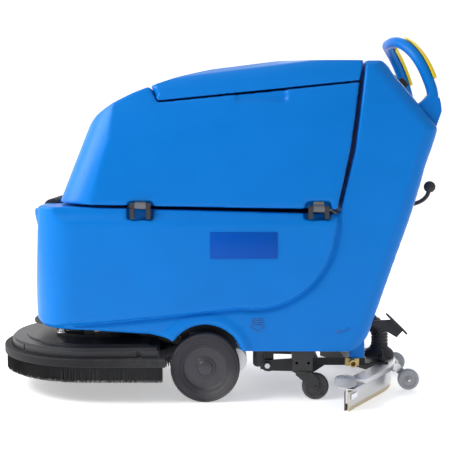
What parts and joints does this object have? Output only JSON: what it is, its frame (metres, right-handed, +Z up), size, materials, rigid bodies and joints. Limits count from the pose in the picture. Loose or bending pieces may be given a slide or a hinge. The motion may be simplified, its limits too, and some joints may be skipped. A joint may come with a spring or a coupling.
{
  "type": "walk-behind floor scrubber",
  "caption": "Walk-behind floor scrubber: disc brush deck in front, swept squeegee behind, blue lower tank and column with a tilting recovery tank, bow handle.",
  "frame": {"origin": "on the floor, at the centre of the machine's box", "axes": "+X to the operator, -X to the brush deck, +Y to the machine's right-hand side, +Z up"},
  "size_m": [1.303, 0.718, 1.0603],
  "materials": {
    "blue_plastic": "fine-grained, satin",
    "black_plastic": "satin moulded",
    "grey_plastic": "satin moulded",
    "grey_rubber": "matt rubber",
    "black_rubber": "matt",
    "tan_rubber": "matt",
    "yellow_plastic": "smooth",
    "black_steel": "satin powder coat",
    "plated_steel": "zinc plated",
    "cast_aluminium": "cast, satin",
    "brass": "satin"
  },
  "bodies": {
    "chassis": {"solution_tank": "blue_plastic", "front_plate": "black_steel", "chassis_frame": "black_steel", "caster_brackets": "black_steel", "battery_pack": "black_plastic", "suction_motor": "black_plastic", "drive_gearmotor": "cast_aluminium", "water_filter": "black_plastic", "drain_valve": "brass", "handle_bow": "blue_plastic", "control_panel": "black_plastic", "tank_hinge_blocks": "black_plastic", "lever_bracket": "black_steel", "pivot_bolts": "plated_steel", "suction_hose": "black_rubber"},
    "recovery_tank": {"recovery_tank": "blue_plastic", "tank_hinge_sleeves": "grey_plastic", "float_cage": "black_plastic"},
    "lid": {"tank_lid": "blue_plastic"},
    "filler_cap": {"filler_cap": "black_plastic"},
    "left_wheel": {"left_tyre": "grey_rubber", "left_rim": "grey_plastic"},
    "right_wheel": {"right_tyre": "grey_rubber", "right_rim": "grey_plastic"},
    "left_caster_swivel": {"left_caster_fork": "plated_steel"},
    "right_caster_swivel": {"right_caster_fork": "plated_steel"},
    "left_caster_wheel": {"left_caster_wheel": "grey_rubber"},
    "right_caster_wheel": {"right_caster_wheel": "grey_rubber"},
    "deck_arm": {"deck_lift_arm": "black_steel"},
    "deck_link": {"deck_link": "black_steel"},
    "deck": {"deck_cover": "black_plastic", "skirt_band": "black_plastic", "bristle_skirt": "black_rubber", "deck_bracket": "black_steel", "brush_motor": "black_steel"},
    "brush": {"brush_plate": "black_plastic", "brush_bristles": "black_rubber"},
    "pedal": {"deck_pedal": "black_plastic"},
    "squeegee": {"squeegee_arm": "black_steel", "squeegee_casting": "cast_aluminium", "squeegee_axles": "plated_steel", "front_blade": "black_rubber", "rear_blade": "tan_rubber", "blade_strap": "plated_steel", "suction_neck": "black_plastic"},
    "strap_latch": {"strap_latch": "plated_steel"},
    "left_knob": {"left_squeegee_knob": "black_plastic"},
    "right_knob": {"right_squeegee_knob": "black_plastic"},
    "left_squeegee_wheel": {"left_squeegee_wheel": "grey_rubber"},
    "right_squeegee_wheel": {"right_squeegee_wheel": "grey_rubber"},
    "left_bumper": {"left_bumper_roller": "grey_rubber"},
    "right_bumper": {"right_bumper_roller": "grey_rubber"},
    "lever": {"squeegee_lever": "black_plastic"},
    "left_paddle": {"left_paddle": "yellow_plastic"},
    "right_paddle": {"right_paddle": "yellow_plastic"},
    "brush_button": {"brush_button": "black_plastic"},
    "suction_button": {"suction_button": "black_plastic"},
    "water_button": {"water_button": "black_plastic"},
    "key": {"ignition_key": "plated_steel"},
    "water_dial": {"water_dial": "black_plastic"}
  },
  "joints": [
    {"name": "tank_tilt", "type": "hinge", "parent": "chassis", "child": "recovery_tank", "pos_m": [0.043, -0.262, 0.563], "axis": [0.9998, 0, -0.018], "range_deg": [0, 85]},
    {"name": "lid_open", "type": "hinge", "parent": "recovery_tank", "child": "lid", "pos_m": [-0.06, 0.244, 0.87569], "axis": [-0.9954, 0, -0.0955], "range_deg": [0, 95]},
    {"name": "cap_open", "type": "hinge", "parent": "chassis", "child": "filler_cap", "pos_m": [-0.469, 0, 0.557], "axis": [0, 1, 0], "range_deg": [0, 40]},
    {"name": "left_wheel_spin", "type": "hinge", "parent": "chassis", "child": "left_wheel", "pos_m": [-0.027, -0.237, 0.1], "axis": [0, 1, 0], "continuous": true},
    {"name": "left_caster_turn", "type": "hinge", "parent": "chassis", "child": "left_caster_swivel", "pos_m": [0.254, -0.218, 0.085], "axis": [0, 0, 1], "continuous": true},
    {"name": "left_caster_spin", "type": "hinge", "parent": "left_caster_swivel", "child": "left_caster_wheel", "pos_m": [0.293, -0.218, 0.039], "axis": [0, 1, 0], "continuous": true},
    {"name": "right_wheel_spin", "type": "hinge", "parent": "chassis", "child": "right_wheel", "pos_m": [-0.027, 0.237, 0.1], "axis": [0, 1, 0], "continuous": true},
    {"name": "right_caster_turn", "type": "hinge", "parent": "chassis", "child": "right_caster_swivel", "pos_m": [0.254, 0.218, 0.085], "axis": [0, 0, 1], "continuous": true},
    {"name": "right_caster_spin", "type": "hinge", "parent": "right_caster_swivel", "child": "right_caster_wheel", "pos_m": [0.293, 0.218, 0.039], "axis": [0, 1, 0], "continuous": true},
    {"name": "deck_lift", "type": "hinge", "parent": "chassis", "child": "deck_arm", "pos_m": [-0.09, 0, 0.146], "axis": [0, -1, 0], "range_deg": [0, 22.4]},
    {"name": "deck_level", "type": "hinge", "parent": "deck_arm", "child": "deck", "pos_m": [-0.24, 0, 0.182], "axis": [0, -1, 0], "range_deg": [-22.4, 0]},
    {"name": "deck_link_turn", "type": "hinge", "parent": "chassis", "child": "deck_link", "pos_m": [-0.09, 0, 0.174], "axis": [0, -1, 0], "range_deg": [0, 22.4]},
    {"name": "pedal_turn", "type": "hinge", "parent": "chassis", "child": "pedal", "pos_m": [0.415, -0.12, 0.203], "axis": [0, -1, 0], "range_deg": [0, 22.4]},
    {"name": "brush_spin", "type": "hinge", "parent": "deck", "child": "brush", "pos_m": [-0.362, 0, 0.12], "axis": [0, 0, 1], "continuous": true},
    {"name": "squeegee_lift", "type": "hinge", "parent": "chassis", "child": "squeegee", "pos_m": [0.157, 0, 0.077], "axis": [0, -1, 0], "range_deg": [0, 6.5], "deforming": ["suction_hose"]},
    {"name": "lever_turn", "type": "hinge", "parent": "chassis", "child": "lever", "pos_m": [0.536, -0.15, 0.566], "axis": [0, 1, 0], "range_deg": [0, 39]},
    {"name": "strap_latch_open", "type": "hinge", "parent": "squeegee", "child": "strap_latch", "pos_m": [0.40087, -0.3158, 0.04], "axis": [0, 0, 1], "range_deg": [0, 70]},
    {"name": "left_knob_turn", "type": "hinge", "parent": "squeegee", "child": "left_knob", "pos_m": [0.508, -0.08, 0.09], "axis": [0, 0, 1], "continuous": true},
    {"name": "left_squeegee_wheel_spin", "type": "hinge", "parent": "squeegee", "child": "left_squeegee_wheel", "pos_m": [0.584, -0.114, 0.0325], "axis": [0, 1, 0], "continuous": true},
    {"name": "left_bumper_spin", "type": "hinge", "parent": "squeegee", "child": "left_bumper", "pos_m": [0.367, -0.328, 0.08], "axis": [0, 0, 1], "continuous": true},
    {"name": "left_paddle_press", "type": "hinge", "parent": "chassis", "child": "left_paddle", "pos_m": [0.625, -0.178, 0.926], "axis": [0, -1, 0], "range_deg": [0, 1.2], "stiffness_Nm_per_rad": 3},
    {"name": "right_knob_turn", "type": "hinge", "parent": "squeegee", "child": "right_knob", "pos_m": [0.508, 0.08, 0.09], "axis": [0, 0, 1], "continuous": true},
    {"name": "right_squeegee_wheel_spin", "type": "hinge", "parent": "squeegee", "child": "right_squeegee_wheel", "pos_m": [0.584, 0.114, 0.0325], "axis": [0, 1, 0], "continuous": true},
    {"name": "right_bumper_spin", "type": "hinge", "parent": "squeegee", "child": "right_bumper", "pos_m": [0.367, 0.328, 0.08], "axis": [0, 0, 1], "continuous": true},
    {"name": "right_paddle_press", "type": "hinge", "parent": "chassis", "child": "right_paddle", "pos_m": [0.625, 0.178, 0.926], "axis": [0, -1, 0], "range_deg": [0, 1.2], "stiffness_Nm_per_rad": 3},
    {"name": "brush_button_press", "type": "slide", "parent": "chassis", "child": "brush_button", "axis": [-0.7683, 0, -0.6401], "range_m": [0, 0.002], "stiffness_N_per_m": 600},
    {"name": "suction_button_press", "type": "slide", "parent": "chassis", "child": "suction_button", "axis": [-0.7683, 0, -0.6401], "range_m": [0, 0.002], "stiffness_N_per_m": 600},
    {"name": "water_button_press", "type": "slide", "parent": "chassis", "child": "water_button", "axis": [-0.7683, 0, -0.6401], "range_m": [0, 0.002], "stiffness_N_per_m": 600},
    {"name": "key_turn", "type": "hinge", "parent": "chassis", "child": "key", "pos_m": [0.54385, 0.13, 0.9146], "axis": [0.7683, 0, 0.6401], "range_deg": [0, 90]},
    {"name": "water_dial_turn", "type": "hinge", "parent": "chassis", "child": "water_dial", "pos_m": [0.54385, -0.146, 0.9146], "axis": [0.7683, 0, 0.6401], "range_deg": [0, 270]}
  ],
  "couplings": [
    {"joint": "deck_level", "follows": "deck_lift", "ratio": -1},
    {"joint": "deck_link_turn", "follows": "deck_lift", "ratio": 1},
    {"joint": "pedal_turn", "follows": "deck_lift", "ratio": 1},
    {"joint": "lever_turn", "follows": "squeegee_lift", "ratio": 6}
  ]
}
